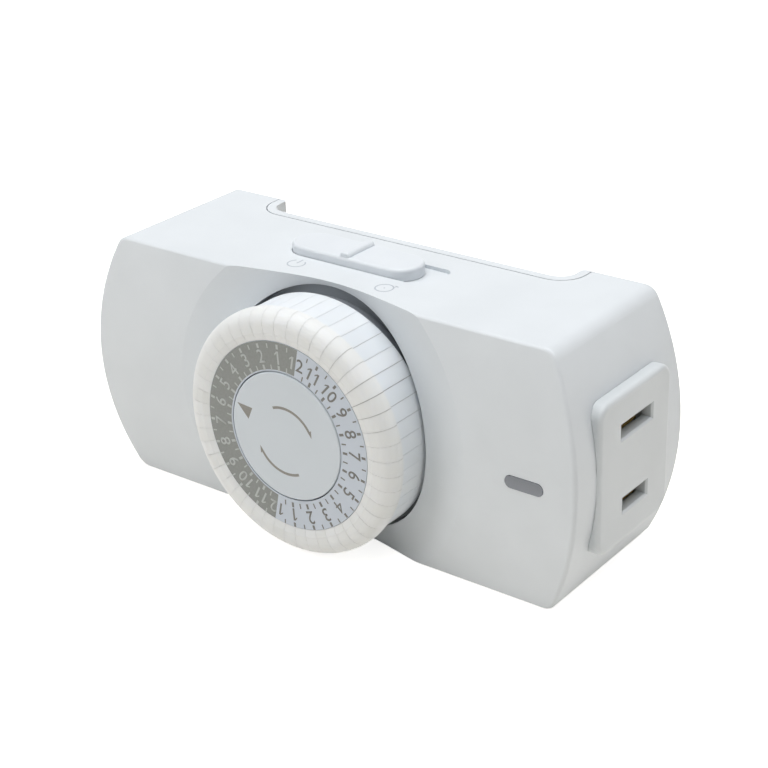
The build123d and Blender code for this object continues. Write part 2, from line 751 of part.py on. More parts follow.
def follower_lever():
    """Lever that senses the trippers with its nose and is held off by the slider's cam."""
    half = follower_width / 2
    bar = box(follower_x - half, follower_x + half, follower_front_y, follower_rear_y,
              follower_foot_z, follower_head_z)
    nose = box(follower_x - nose_width / 2, follower_x + nose_width / 2, follower_front_y - nose_reach,
               follower_front_y + 0.2, nose_z - nose_height / 2, nose_z + nose_height / 2)
    lever = bar + nose
    hole = follower_pin_radius + running_slip
    lever = lever - rod_x(hole, follower_axis_y(), follower_pivot_z, follower_x - 4, follower_x + 4)
    return lever


def follower_pin():
    reach = follower_width / 2 + 0.25 + ear_thickness
    coil = spring_wire * 1.3 * spring_turns + 0.8
    return rod_x(follower_pin_radius, follower_axis_y(), follower_pivot_z, follower_x - reach - coil,
                 follower_x + reach)


def follower_spring():
    """Small torsion spring beside the follower, its legs against the lever."""
    radius = follower_pin_radius + spring_wire / 2 + 0.05
    x = follower_x - follower_width / 2 - 0.25 - ear_thickness - 0.3
    coil = Helix(pitch=spring_wire * 1.3, height=spring_wire * 1.3 * spring_turns, radius=radius)
    wire = sweep(Plane(origin=coil @ 0, z_dir=coil % 0) * Circle(spring_wire / 2), path=coil)
    return Pos(x, follower_axis_y(), follower_pivot_z) * Rot(0, -90, 0) * wire


def contact_leaf():
    """Springy contact arm with its silver button; it bends at its root."""
    half = leaf_width / 2
    strip = box(follower_x - half, follower_x + half, leaf_y, leaf_y + leaf_thickness,
                leaf_root_z, leaf_top_z)
    button = rod_y(contact_radius, follower_x, leaf_top_z - 2, leaf_y + leaf_thickness,
                   leaf_y + leaf_thickness + contact_height)
    rims = [e for e in button.edges() if e.center().Y > leaf_y + leaf_thickness + 0.3]
    return strip + fillet(rims, 0.2)


def fixed_contact_y():
    return leaf_y + leaf_thickness + contact_height + contact_gap


def fixed_contact():
    """Contact strip from the hot blade to the button behind the leaf."""
    y = fixed_contact_y() + contact_height
    right_x = blade_spacing / 2 - blade_thickness / 2
    strip = box(follower_x - leaf_width / 2, right_x, y, y + fixed_contact_thickness,
                0.8, leaf_top_z - 0.2)
    holder_front_y = recess_floor_y - cover_thickness - holder_depth
    tab = box(right_x - 0.6, right_x, y, holder_front_y - slip, -2.4, 3.0)
    button = rod_y(contact_radius, follower_x, leaf_top_z - 2, fixed_contact_y(), y)
    return strip + tab + button


# ---- override slider -----------------------------------------------------------------
def override_slider():
    place = Pos(slider_centre_x, slider_centre_y)
    cap_rear_z = half_height - slider_pocket + slip
    body = along_z(place * stadium(slider_length, slider_width), cap_rear_z, half_height + slider_rise)
    top_rim = [e for e in body.edges() if e.center().Z > half_height + slider_rise - 0.01]
    body = fillet(top_rim, slider_top_round)
    reach = slider_length / 2 + slider_travel + 3 * slider_slip
    side = slider_width / 2 + slider_flange
    flange = box(slider_centre_x - reach, slider_centre_x + reach,
                 slider_centre_y - side, slider_centre_y + side,
                 slider_bottom_z, slider_bottom_z + slider_flange_thickness)
    stem = along_z(place * stadium(slider_stem_length, slider_stem_width), slider_bottom_z, cap_rear_z)
    half = slider_width / 2 - slider_top_round / 2
    rib = box(slider_centre_x - rib_width / 2, slider_centre_x + rib_width / 2,
              slider_centre_y - half, slider_centre_y + half,
              half_height + slider_rise - 0.6, half_height + slider_rise + rib_height)
    rib = fillet(rib.edges().filter_by(Axis.Y).group_by(Axis.Z)[-1], rib_round)
    rib = fillet(rib.edges().filter_by(Axis.X).group_by(Axis.Z)[-1], rib_round / 2)
    return body + stem + flange + rib


def cam_face_y(x):
    """Y of the cam's sloping face at rest; it lets the lever's head swing back as the slider moves."""
    lift = (follower_head_z - follower_pivot_z) * sin(radians(follower_swing))
    slope = lift / slider_travel
    touch_x = follower_x + follower_width / 2
    return follower_rear_y + leaf_gap + slope * (touch_x - x)


def slider_cam():
    """Cam under the slider with a sloping face behind the lever's head."""
    top = slider_bottom_z
    right = cam_left_x + cam_length
    rear = slider_centre_y + slider_width / 2
    knee = follower_x + follower_width / 2 + 0.8
    outline = make_face(Polyline((cam_left_x, cam_face_y(cam_left_x)), (knee, cam_face_y(knee)),
                                 (right, cam_face_y(knee)), (right, rear), (cam_left_x, rear), close=True))
    return along_z(outline, top - cam_height, top)


def slider_spring():
    """Bent leaf that rests against the cam's rear face and holds the slider where it is put."""
    rear = slider_centre_y + slider_width / 2 + 0.2
    left = cam_left_x + slider_spring_inset
    right = left + slider_spring_length
    middle = (left + right) / 2
    foot_y = rear + 0.2 + slider_spring_bend
    points = [(left, foot_y), (left + slider_spring_foot, foot_y), (middle, rear + 0.2),
              (right - slider_spring_foot, foot_y), (right, foot_y)]
    back = [(x, y + 0.3) for x, y in reversed(points)]
    outline = make_face(Polyline(*points, *back, close=True))
    strip = along_z(outline, slider_bottom_z - 2.6, slider_bottom_z - 0.6)
    top = half_height - wall - slip
    tabs = [box(x, x + 1.6, foot_y, foot_y + 0.3, slider_bottom_z - 1, top)
            for x in (left, right - 1.6)]
    return strip + tabs


# ---- plug and wiring -----------------------------------------------------------------
def blades():
    """X and width of the neutral and the hot blade."""
    return [(-blade_spacing / 2, neutral_blade_width), (blade_spacing / 2, hot_blade_width)]


def blade_box(x, width, y0, y1, grow):
    half = blade_thickness / 2 + grow
    return box(x - half, x + half, y0, y1, -width / 2 - grow, width / 2 + grow)


def blade(x, width):
    bar = blade_box(x, width, -blade_tail, blade_length, 0)
    tips = bar.edges().filter_by(Axis.X).group_by(Axis.Y)[-1]
    bar = chamfer(tips, blade_tip_taper)
    faces = bar.edges().filter_by(Axis.Z).group_by(Axis.Y)[-1]
    return chamfer(faces, 0.4)


def blade_holder():
    rear = recess_floor_y - cover_thickness
    block = box(-holder_half_length, holder_half_length, rear - holder_depth, rear,
                -holder_half_height, holder_half_height)
    block = fillet(block.edges().filter_by(Axis.Y), 1.0)
    for x, width in blades():
        block = block - blade_box(x, width, -blade_tail - 1, 1, 0)
    return block


def bus(side):
    """Long brass strip at one height that joins the clips at both ends."""
    reach = carrier_inner_x - clip_tail
    z0 = side * bus_z - bus_half_height
    z1 = side * bus_z + bus_half_height
    strip = box(-reach, reach, bus_y, bus_y + bus_thickness, z0, z1)
    ends = box(reach - bus_thickness, reach, chassis_rear_y + 0.8, bus_y + bus_thickness, z0, z1)
    return strip + both_sides(ends)


def neutral_bus():
    x = -blade_spacing / 2 + blade_thickness / 2
    top = bus_z + bus_half_height
    rear = recess_floor_y - cover_thickness - holder_depth
    riser = box(x, x + bus_thickness, -blade_tail, rear - 0.1, -2.0, top)
    link = box(x, x + bus_thickness, rear - 0.2, bus_y + 0.1, holder_half_height + 0.2, top)
    return bus(1) + riser + link


def hot_bus():
    """Hot strip with the bracket that carries the contact leaf's root."""
    half = leaf_width / 2
    root_y = leaf_y + leaf_thickness + slip
    bracket = box(follower_x - half, follower_x + half, root_y, bus_y + 0.1,
                  leaf_root_z - 0.8, leaf_root_z - 0.2)
    pad = box(follower_x - half, follower_x + half, root_y, root_y + 0.6,
              leaf_root_z - 0.8, leaf_root_z + 2.0)
    return bus(-1) + bracket + pad


def clips_at(shape, side):
    return shape if side > 0 else mirror(shape, about=Plane.YZ)


os.makedirs("parts", exist_ok=True)
insert = outlet_insert()
clips = outlet_clips()
nodes = {
    "front_housing": front_housing(),
    "back_cover": back_cover(),
    "cover_screws": screws(at_corners(cover_screw_x, cover_screw_z), rear_y - screw_head_height,
                           cover_screw_length - 1),
    "outlet_insert_right": insert,
    "outlet_insert_left": clips_at(insert, -1),
    "outlet_clips_right": clips,
    "outlet_clips_left": clips_at(clips, -1),
    "indicator_lens": indicator_lens(),
    "indicator_lamp": indicator_lamp(),
    "lamp_board": lamp_board(),
    "lamp_resistor": lamp_resistor(),
    "chassis": chassis(),
    "chassis_screws": screws(at_corners(boss_x, boss_z), chassis_rear_y, chassis_screw_length - 1),
    "centre_disc": centre_disc(),
    "drum_clip": drum_clip(),
    "dial_drum": dial_drum(),
    "number_plate": number_plate(),
    "dial_gear": dial_gear(),
    "compound_gear": compound_gear(),
    "compound_axle": compound_axle(),
    "motor_pinion": motor_pinion(),
    "motor_case": motor_case(),
    "motor_terminals": motor_terminals(),
    "follower_lever": follower_lever(),
    "follower_pin": follower_pin(),
    "follower_spring": follower_spring(),
    "contact_leaf": contact_leaf(),
    "fixed_contact": fixed_contact(),
    "override_slider": override_slider(),
    "slider_cam": slider_cam(),
    "slider_spring": slider_spring(),
    "blade_neutral": blade(*blades()[0]),
    "blade_hot": blade(*blades()[1]),
    "blade_holder": blade_holder(),
    "neutral_bus": neutral_bus(),
    "hot_bus": hot_bus(),
}
for hour in range(hours):
    nodes[f"tripper_hour_{hour:02d}"] = hour_trippers(hour)
for name, shape in nodes.items():
    export_step(shape, f"parts/{name}.step")
    print(name, round(shape.volume, 2))
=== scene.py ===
import math

import bmesh
import bpy
from mathutils import Matrix, Vector


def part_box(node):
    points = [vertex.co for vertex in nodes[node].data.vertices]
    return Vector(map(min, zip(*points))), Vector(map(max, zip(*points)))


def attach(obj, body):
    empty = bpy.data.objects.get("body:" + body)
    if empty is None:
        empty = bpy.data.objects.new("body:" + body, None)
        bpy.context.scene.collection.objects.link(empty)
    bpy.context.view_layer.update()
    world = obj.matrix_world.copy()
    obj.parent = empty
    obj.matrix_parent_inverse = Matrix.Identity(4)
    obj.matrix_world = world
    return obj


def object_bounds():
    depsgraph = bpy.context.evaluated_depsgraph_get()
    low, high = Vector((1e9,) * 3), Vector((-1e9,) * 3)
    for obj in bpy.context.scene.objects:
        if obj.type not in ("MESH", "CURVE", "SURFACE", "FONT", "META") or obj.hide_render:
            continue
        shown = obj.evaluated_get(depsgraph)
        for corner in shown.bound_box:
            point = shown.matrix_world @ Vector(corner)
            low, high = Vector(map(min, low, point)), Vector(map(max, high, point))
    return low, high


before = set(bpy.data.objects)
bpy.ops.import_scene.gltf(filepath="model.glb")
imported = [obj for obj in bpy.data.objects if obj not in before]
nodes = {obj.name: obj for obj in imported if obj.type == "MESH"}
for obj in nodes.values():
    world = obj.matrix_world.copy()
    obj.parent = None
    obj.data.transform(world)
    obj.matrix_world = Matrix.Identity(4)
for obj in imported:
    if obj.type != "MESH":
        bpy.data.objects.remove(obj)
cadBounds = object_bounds()
mm = 0.001
halfHours = 48  # one tripper each
halfHour = 360 / halfHours  # degrees of the dial
twelveAt = 12.0  # where midnight stands at rest, in degrees clockwise from the top
print("frame loaded,", len(nodes), "nodes")


def hexColour(text):
    channels = [int(text[i:i + 2], 16) / 255 for i in (1, 3, 5)]
    linear = [c / 12.92 if c <= 0.04045 else ((c + 0.055) / 1.055) ** 2.4 for c in channels]
    return (*linear, 1)


def setInputs(node, inputs):
    # an input is a value, a socket, or a node, whose first output in use then feeds it
    for name, value in inputs.items():
        if isinstance(value, bpy.types.Node):
            value = next(socket for socket in value.outputs if socket.enabled)
        if isinstance(value, bpy.types.NodeSocket):
            node.id_data.links.new(value, node.inputs[name])
        else:
            node.inputs[name].default_value = value


def addNode(tree, kind, inputs=None, **settings):
    node = tree.nodes.new(kind)
    for name, value in settings.items():
        setattr(node, name, value)
    setInputs(node, inputs or {})
    return node


def span(side, ends):
    # the two sockets on the From or the To side of a range
    return {side + " Min": ends[0], side + " Max": ends[1]}


def newMaterial(name):
    # a plain surface, and the place on the piece that its patterns are laid out by
    material = bpy.data.materials.new(name)
    material.use_nodes = True
    tree = material.node_tree
    tree.nodes.clear()
    shader = addNode(tree, "ShaderNodeBsdfPrincipled")
    addNode(tree, "ShaderNodeOutputMaterial", {"Surface": shader})
    place = addNode(tree, "ShaderNodeTexCoord").outputs["Object"]
    return material, tree, shader, place


def mouldedAbs(name, look):
    # ABS from a spark-eroded mould: a satin sheen with very fine grain and hardly any mottling
    material, tree, shader, place = newMaterial(name)
    mottle = addNode(tree, "ShaderNodeTexNoise",
                     {"Vector": place, "Scale": 1 / (look["mottleMm"] * mm), "Detail": 3})
    cloud = addNode(tree, "ShaderNodeMapRange", {"Value": mottle, **span("From", look["mottleFrom"])})
    # a colour mix has its factor at socket 0 and its two colours at 6 and 7
    colour = addNode(tree, "ShaderNodeMix", {0: cloud, 6: hexColour(look["colour"]),
                                             7: hexColour(look["deepColour"])}, data_type="RGBA")
    grain = addNode(tree, "ShaderNodeTexNoise",
                    {"Vector": place, "Scale": 1 / (look["grainMm"] * mm), "Detail": 2})
    rough = addNode(tree, "ShaderNodeMapRange", {"Value": grain, **span("From", look["grainFrom"]),
                                                 **span("To", look["roughness"])})
    bump = addNode(tree, "ShaderNodeBump", {"Height": grain, "Strength": look["grainStrength"],
                                            "Distance": look["grainDepthMm"] * mm})
    setInputs(shader, {"Base Color": colour, "Roughness": rough, "Normal": bump,
                       "IOR": 1.54, "Specular IOR Level": 0.45})
    return material


# the grain is 0.05 mm on the real plastic and drawn at 0.35 mm, so that it still shows
housingLook = {"colour": "#DDE2E6", "deepColour": "#D9DEE2", "roughness": (0.41, 0.51),
               "mottleMm": 14, "mottleFrom": (0.35, 0.65), "grainMm": 0.35, "grainFrom": (0.3, 0.7),
               "grainStrength": 0.35, "grainDepthMm": 0.012}
housingAbs = mouldedAbs("whiteAbs", housingLook)
insertAbs = mouldedAbs("whiteAbsInsert", dict(housingLook, colour="#D2D7DA", deepColour="#CED3D6",
                                              roughness=(0.37, 0.47)))
sliderAbs = mouldedAbs("whiteAbsSlider", dict(housingLook, colour="#DEE3E8", deepColour="#DADFE4",
                                              roughness=(0.35, 0.45)))
drumAbs = mouldedAbs("slateAbs", dict(housingLook, colour="#8F949A", deepColour="#898E94",
                                      roughness=(0.45, 0.55)))
chassisAbs = mouldedAbs("greyAbs", dict(housingLook, colour="#8E9396", deepColour="#888D90",
                                        roughness=(0.45, 0.55)))
holderPhenolic = mouldedAbs("blackPhenolic", dict(housingLook, colour="#232326", deepColour="#1D1D20",
                                                  roughness=(0.33, 0.43)))
gearNylon = mouldedAbs("naturalNylon", dict(housingLook, colour="#DEDCD0", deepColour="#D8D6C8",
                                            roughness=(0.31, 0.41)))


def tripperToneAndSideShade(tree, look, axes, count):
    # each moulding is a shade apart at random, and the sides are painted cooler and a little darker than the
    # lips, as painted shade on the one acetal
    segment = addNode(tree, "ShaderNodeMath", {0: count}, operation="FLOOR")
    shade = addNode(tree, "ShaderNodeTexWhiteNoise", {"W": segment}, noise_dimensions="1D")
    lip = addNode(tree, "ShaderNodeMix", {0: shade, 6: hexColour(look["lipColour"]),
                                          7: hexColour(look["lipShade"])}, data_type="RGBA")
    side = addNode(tree, "ShaderNodeMix", {0: shade, 6: hexColour(look["shadedSideColour"]),
                                           7: hexColour(look["shadedSideTone"])}, data_type="RGBA")
    lipToShadedSide = [y * mm for y in look["lipToShadedSide"]]
    shadedSideMask = addNode(tree, "ShaderNodeMapRange", {"Value": axes["Y"], **span("From", lipToShadedSide)})
    return addNode(tree, "ShaderNodeMix", {0: shadedSideMask, 6: lip, 7: side}, data_type="RGBA")


def tripperJointShade(tree, look, turn, count):
    # painted shade in the hairline joints, darker in some than in others
    part = addNode(tree, "ShaderNodeMath", {0: count}, operation="FRACT")
    middle = addNode(tree, "ShaderNodeMath", {0: part, 1: 0.5}, operation="SUBTRACT")
    edge = addNode(tree, "ShaderNodeMath", {0: middle}, operation="ABSOLUTE")
    joint = (0.5 - look["seamShare"], 0.5)
    line = addNode(tree, "ShaderNodeMapRange", {"Value": edge, **span("From", joint)})
    nearest = addNode(tree, "ShaderNodeMath", {0: count}, operation="ROUND")
    chance = addNode(tree, "ShaderNodeTexWhiteNoise", {"W": nearest}, noise_dimensions="1D")
    some = addNode(tree, "ShaderNodeMapRange", {"Value": chance, **span("From", look["seamChance"]),
                                                **span("To", look["seamDark"])})
    # the painted joint shade is darkest around one turn of the dial and faint elsewhere
    away = addNode(tree, "ShaderNodeMath", {0: turn, 1: math.radians(look["jointShadeAt"])}, operation="SUBTRACT")
    facing = addNode(tree, "ShaderNodeMath", {0: away}, operation="COSINE")
    jointShadeEdge = math.cos(math.radians(look["jointShadeSpread"]))
    jointShadeReach = addNode(tree, "ShaderNodeMapRange", {"Value": facing, **span("From", (jointShadeEdge, 1)),
                                                **span("To", (look["seamFaint"], 1))})
    strength = addNode(tree, "ShaderNodeMath", {0: jointShadeReach, 1: some}, operation="MULTIPLY")
    return addNode(tree, "ShaderNodeMath", {0: line, 1: strength}, operation="MULTIPLY")


def acetalTripper(look):
    # natural acetal: milky and slightly see-through at its edges
    material, tree, shader, place = newMaterial("naturalAcetal")
    axes = addNode(tree, "ShaderNodeSeparateXYZ", {"Vector": place}).outputs
    turn = addNode(tree, "ShaderNodeMath", {0: axes["X"], 1: axes["Z"]}, operation="ARCTAN2")
    past = addNode(tree, "ShaderNodeMath", {0: turn, 1: math.radians(twelveAt)}, operation="SUBTRACT")
    count = addNode(tree, "ShaderNodeMath", {0: past, 1: 1 / math.radians(halfHour)}, operation="MULTIPLY")
    tone = tripperToneAndSideShade(tree, look, axes, count)
    jointShade = tripperJointShade(tree, look, turn, count)
    # painted shade darkens the joints
    colour = addNode(tree, "ShaderNodeMix", {0: jointShade, 6: tone, 7: hexColour(look["seamShadeColour"])},
                     data_type="RGBA")
    grain = addNode(tree, "ShaderNodeTexNoise",
                    {"Vector": place, "Scale": 1 / (look["grainMm"] * mm), "Detail": 2})
    bump = addNode(tree, "ShaderNodeBump", {"Height": grain, "Strength": look["grainStrength"],
                                            "Distance": look["grainDepthMm"] * mm})
    setInputs(shader, {"Base Color": colour, "Roughness": look["roughness"], "Normal": bump, "IOR": 1.48,
                       "Specular IOR Level": 0.45, "Subsurface Weight": look["milkiness"],
                       "Subsurface Scale": look["scatterMm"] * mm, "Subsurface Radius": (1.0, 0.95, 0.85)})
    return material


# the grain is drawn coarser than the real 0.05 mm here too
# the side colours are painted shade on the one acetal, and the seam colour is painted shade in the joints
tripperLook = {"lipColour": "#EBEDED", "lipShade": "#E7E9E8", "shadedSideColour": "#E6EBEF", "shadedSideTone": "#DFE5EA",
               "lipToShadedSide": (-31.2, -29.6), "roughness": 0.5, "milkiness": 0.35, "scatterMm": 0.8,
               "seamShadeColour": "#7D7C7C", "seamShare": 0.035, "seamChance": (0.2, 1), "seamDark": (0.25, 1.0),
               "seamFaint": 0.04, "jointShadeAt": 53, "jointShadeSpread": 26,
               "grainMm": 0.4, "grainStrength": 0.2, "grainDepthMm": 0.008}
tripperAcetal = acetalTripper(tripperLook)


def printedPlastic(name, look):
    # smooth ABS that pad printing keys to: slightly glossier than the housing
    material, tree, shader, place = newMaterial(name)
    mottle = addNode(tree, "ShaderNodeTexNoise",
                     {"Vector": place, "Scale": 1 / (look["mottleMm"] * mm), "Detail": 2})
    colour = addNode(tree, "ShaderNodeMix", {0: mottle, 6: hexColour(look["colour"]),
                                             7: hexColour(look["deepColour"])}, data_type="RGBA")
    rough = addNode(tree, "ShaderNodeMapRange", {"Value": mottle, **span("To", look["roughness"])})
    setInputs(shader, {"Base Color": colour, "Roughness": rough, "IOR": 1.54, "Specular IOR Level": 0.4})
    return material


ringAbs = printedPlastic("paleRingAbs", {"colour": "#C9D1DC", "deepColour": "#C4CCD6", "mottleMm": 5,
                                         "roughness": (0.36, 0.44)})
discAbs = printedPlastic("paleDiscAbs", {"colour": "#D2D9E0", "deepColour": "#CDD5DB", "mottleMm": 9,
                                         "roughness": (0.32, 0.4)})


def padInk(name, look):
    # pad-printing ink: matt, thin, with a little unevenness in its cover
    material, tree, shader, place = newMaterial(name)
    specks = addNode(tree, "ShaderNodeTexNoise",
                     {"Vector": place, "Scale": 1 / (look["speckMm"] * mm), "Detail": 3})
    bare = addNode(tree, "ShaderNodeMapRange", {"Value": specks, **span("From", look["speckFrom"]),
                                                **span("To", (0, look["thinness"]))})
    colour = addNode(tree, "ShaderNodeMix", {0: bare, 6: hexColour(look["colour"]),
                                             7: hexColour(look["under"])}, data_type="RGBA")
    setInputs(shader, {"Base Color": colour, "Roughness": 0.55, "IOR": 1.5, "Specular IOR Level": 0.3})
    return material


inkLook = {"colour": "#8C8F8C", "under": "#9A9D9B", "speckMm": 0.4, "speckFrom": (0.4, 0.7), "thinness": 0.35}
greyHalfInk = padInk("midGreyInk", inkLook)
digitInk = padInk("darkGreyInk", dict(inkLook, colour="#7D7C79", under="#8F8F8D", speckMm=0.3, thinness=0.4))
paleInk = padInk("paleGreyInk", dict(inkLook, colour="#BBBFBE", under="#A9ADAB", speckMm=0.3, thinness=0.4))
markInk = padInk("warmGreyInk", dict(inkLook, colour="#8E8C86", under="#9A9894", thinness=0.4))
iconInk = padInk("lightGreyInk", dict(inkLook, colour="#B4BAC2", under="#C2C8CF", speckMm=0.3, thinness=0.5))


def smokedPolycarbonate(look):
    # smoked polycarbonate window: polished face, the dark inside shows through it a little, and painted shade
    # makes it darker towards its top
    material, tree, shader, place = newMaterial("smokedPolycarbonate")
    axes = addNode(tree, "ShaderNodeSeparateXYZ", {"Vector": place}).outputs
    lowToHighShade = [z * mm for z in look["lowToHighShade"]]
    topShade = addNode(tree, "ShaderNodeMapRange", {"Value": axes["Z"], **span("From", lowToHighShade)})
    colour = addNode(tree, "ShaderNodeMix", {0: topShade, 6: hexColour(look["low"]),
                                             7: hexColour(look["high"])}, data_type="RGBA")
    setInputs(shader, {"Base Color": colour, "Roughness": 0.22, "IOR": 1.585,
                       "Transmission Weight": look["clearness"], "Coat Weight": 0.3, "Coat Roughness": 0.1})
    return material


# the window's colour runs from lighter low to darker high as painted shade
lensPlastic = smokedPolycarbonate({"low": "#747A84", "high": "#6A7079", "lowToHighShade": (-1, 1),
                                    "clearness": 0.15})


def rolledMetal(name, look):
    # rolled or drawn sheet: faint lines along the rolling direction
    material, tree, shader, place = newMaterial(name)
    squeeze = addNode(tree, "ShaderNodeMapping", {"Vector": place, "Scale": look["stretch"]})
    lines = addNode(tree, "ShaderNodeTexNoise",
                    {"Vector": squeeze, "Scale": 1 / (look["lineMm"] * mm), "Detail": 3})
    colour = addNode(tree, "ShaderNodeMix", {0: lines, 6: hexColour(look["colour"]),
                                             7: hexColour(look["deepColour"])}, data_type="RGBA")
    rough = addNode(tree, "ShaderNodeMapRange", {"Value": lines, **span("From", look["lineFrom"]),
                                                 **span("To", look["roughness"])})
    bump = addNode(tree, "ShaderNodeBump", {"Height": lines, "Strength": look["lineStrength"],
                                            "Distance": look["lineDepthMm"] * mm})
    setInputs(shader, {"Base Color": colour, "Metallic": 1.0, "Roughness": rough, "Normal": bump})
    return material


# rolling lines are a few hundredths apart on real sheet and drawn wider, so that they show
brassLook = {"colour": "#D3BD82", "deepColour": "#C2A86A", "roughness": (0.23, 0.37), "stretch": (1, 0.1, 1),
             "lineMm": 0.25, "lineFrom": (0.2, 0.8), "lineStrength": 0.25, "lineDepthMm": 0.01}
sheetBrass = rolledMetal("rolledBrass", brassLook)
springSteel = rolledMetal("springSteel", dict(brassLook, colour="#B9BBBE", deepColour="#A6A8AC", lineMm=0.2,
                                              stretch=(1, 1, 0.1), roughness=(0.21, 0.35)))
zincSteel = rolledMetal("zincPlatedSteel", dict(brassLook, colour="#C3C6C9", deepColour="#B2B6BB", lineMm=0.6,
                                                stretch=(1, 1, 1), roughness=(0.27, 0.41)))
boardLaminate = mouldedAbs("glassEpoxyLaminate", dict(housingLook, colour="#2C6B45", deepColour="#24593A",
                                                      roughness=(0.35, 0.45)))
resistorPaint = mouldedAbs("resistorPaint", dict(housingLook, colour="#CDB387", deepColour="#C2A676",
                                                 roughness=(0.4, 0.5)))
lampGlass = mouldedAbs("neonLampGlass", dict(housingLook, colour="#C98C74", deepColour="#B97B64",
                                             roughness=(0.15, 0.25)))
print("materials made")

finishes = {
    "front_housing": housingAbs, "back_cover": housingAbs, "cover_screws": zincSteel,
    "outlet_insert_right": insertAbs, "outlet_insert_left": insertAbs,
    "outlet_clips_right": sheetBrass, "outlet_clips_left": sheetBrass,
    "indicator_lens": lensPlastic, "indicator_lamp": lampGlass, "lamp_board": boardLaminate,
    "lamp_resistor": resistorPaint, "chassis": chassisAbs, "chassis_screws": zincSteel,
    "centre_disc": discAbs, "drum_clip": springSteel, "dial_drum": drumAbs, "number_plate": ringAbs,
    "dial_gear": gearNylon, "compound_gear": gearNylon, "compound_axle": springSteel,
    "motor_pinion": sheetBrass, "motor_case": zincSteel, "motor_terminals": sheetBrass,
    "follower_lever": chassisAbs, "follower_pin": springSteel, "follower_spring": springSteel,
    "contact_leaf": sheetBrass, "fixed_contact": sheetBrass, "override_slider": sliderAbs,
    "slider_cam": sliderAbs, "slider_spring": springSteel, "blade_neutral": sheetBrass,
    "blade_hot": sheetBrass, "blade_holder": holderPhenolic, "neutral_bus": sheetBrass, "hot_bus": sheetBrass,
}
for name, node in nodes.items():
    material = tripperAcetal if name.startswith("tripper_") else finishes[name]
    node.data.materials.clear()
    node.data.materials.append(material)
print("CAD pieces finished")

ink = {"filmMm": 0.012, "gapMm": 0.002}  # real ink is thinner and would flicker with the plastic


def polar(angle, radius):
    # angle in degrees from the top, clockwise seen from the dial side
    return Vector((radius * math.sin(math.radians(angle)), radius * math.cos(math.radians(angle))))


def addFilm(name, shape, toSpace, material, body):
    # flat faces in mm become a film of ink on the plastic
    bmesh.ops.triangulate(shape, faces=[f for f in shape.faces if len(f.verts) > 4])
    raised = bmesh.ops.extrude_face_region(shape, geom=shape.faces[:])
    tops = [v for v in raised["geom"] if isinstance(v, bmesh.types.BMVert)]
    bmesh.ops.translate(shape, verts=tops, vec=(0, 0, ink["filmMm"]))
    for vert in shape.verts:
        vert.co = toSpace(vert.co) * mm
    bmesh.ops.recalc_face_normals(shape, faces=shape.faces[:])
    mesh = bpy.data.meshes.new(name)
    shape.to_mesh(mesh)
    shape.free()
    piece = bpy.data.objects.new(name, mesh)
    bpy.context.scene.collection.objects.link(piece)
    mesh.materials.append(material)
    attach(piece, body)


def printPiece(name, outlines, toSpace, material, body):
    # each outline is a flat loop of points in mm
    shape = bmesh.new()
    for outline in outlines:
        shape.faces.new([shape.verts.new((p[0], p[1], 0)) for p in outline])
    addFilm(name, shape, toSpace, material, body)


# a flat point in mm, with its height above the face as z, goes to its place on the switch
def onFront(y, drop=0.0):
    return lambda p: Vector((p.x, y - p.z, p.y - drop))


def onTop(z):
    return lambda p: Vector((p.x, p.y, z + p.z))


def arcBand(start, end, inner, outer, steps):
    turns = [start + (end - start) * i / steps for i in range(steps + 1)]
    return [[polar(a, inner), polar(b, inner), polar(b, outer), polar(a, outer)]
            for a, b in zip(turns, turns[1:])]


ring = {"inner": 11.3, "outer": 15.97, "greySteps": 96, "secondDrop": 0.18,
        "outerTick": (15.02, 15.78), "innerTick": (11.38, 12.25), "hourMm": 0.42, "halfMm": 0.22,
        "digitMm": 2.2, "digitAt": 13.55, "digitPitch": 1.5, "digitStroke": 0.34,
        "digitBolder": 0.02, "digitWide": 0.95, "digitShare": 0.7}  # the last is a share of the font size
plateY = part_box("number_plate")[0].y / mm
# the second colour sits a little low on the plate, as pad printing often does
secondColour = onFront(plateY - ink["filmMm"] - ink["gapMm"], ring["secondDrop"])


def bar(angle, inner, outer, width):
    middle = polar(angle, 1)
    across = Vector((middle.y, -middle.x)) * width / 2
    return [middle * inner - across, middle * inner + across,
            middle * outer + across, middle * outer - across]


# shares of the digit's height, then shares of its stroke
digitOne = {"reach": 0.27, "drop": 0.2, "flagFoot": 0.85, "flagRoot": 0.95}


def uprightOne(height, stroke):
    # a plain upright with a short flag
    half, top = stroke / 2, height / 2
    tip = top - digitOne["drop"] * height
    reach = digitOne["reach"] * height
    foot, root = tip - digitOne["flagFoot"] * stroke, top - digitOne["flagRoot"] * stroke
    return [(half, -top), (half, top), (-half, top), (-reach, tip), (-reach, foot), (-half, root),
            (-half, -top)]


def fontDigit(digit, height):
    curve = bpy.data.curves.new("digit", "FONT")
    curve.body = digit
    curve.size = height / ring["digitShare"]
    curve.align_x = "CENTER"
    curve.align_y = "CENTER"
    curve.resolution_u = 4
    curve.offset = ring["digitBolder"] if digit != "4" else 0  # a bolder 4 fills in
    holder = bpy.data.objects.new("digit", curve)
    bpy.context.scene.collection.objects.link(holder)
    bpy.context.view_layer.update()
    mesh = bpy.data.meshes.new_from_object(holder.evaluated_get(bpy.context.evaluated_depsgraph_get()))
    bpy.data.objects.remove(holder)
    return mesh


def digitFace(digit, height):
    shape = bmesh.new()
    if digit == "1":
        outline = uprightOne(height, ring["digitStroke"])
        shape.faces.new([shape.verts.new((*p, 0)) for p in outline])
        return shape
    mesh = fontDigit(digit, height)
    shape.from_mesh(mesh)
    bpy.data.meshes.remove(mesh)
    middle = (max(v.co.x for v in shape.verts) + min(v.co.x for v in shape.verts)) / 2
    for vert in shape.verts:
        vert.co.x = (vert.co.x - middle) * ring["digitWide"]
    return shape


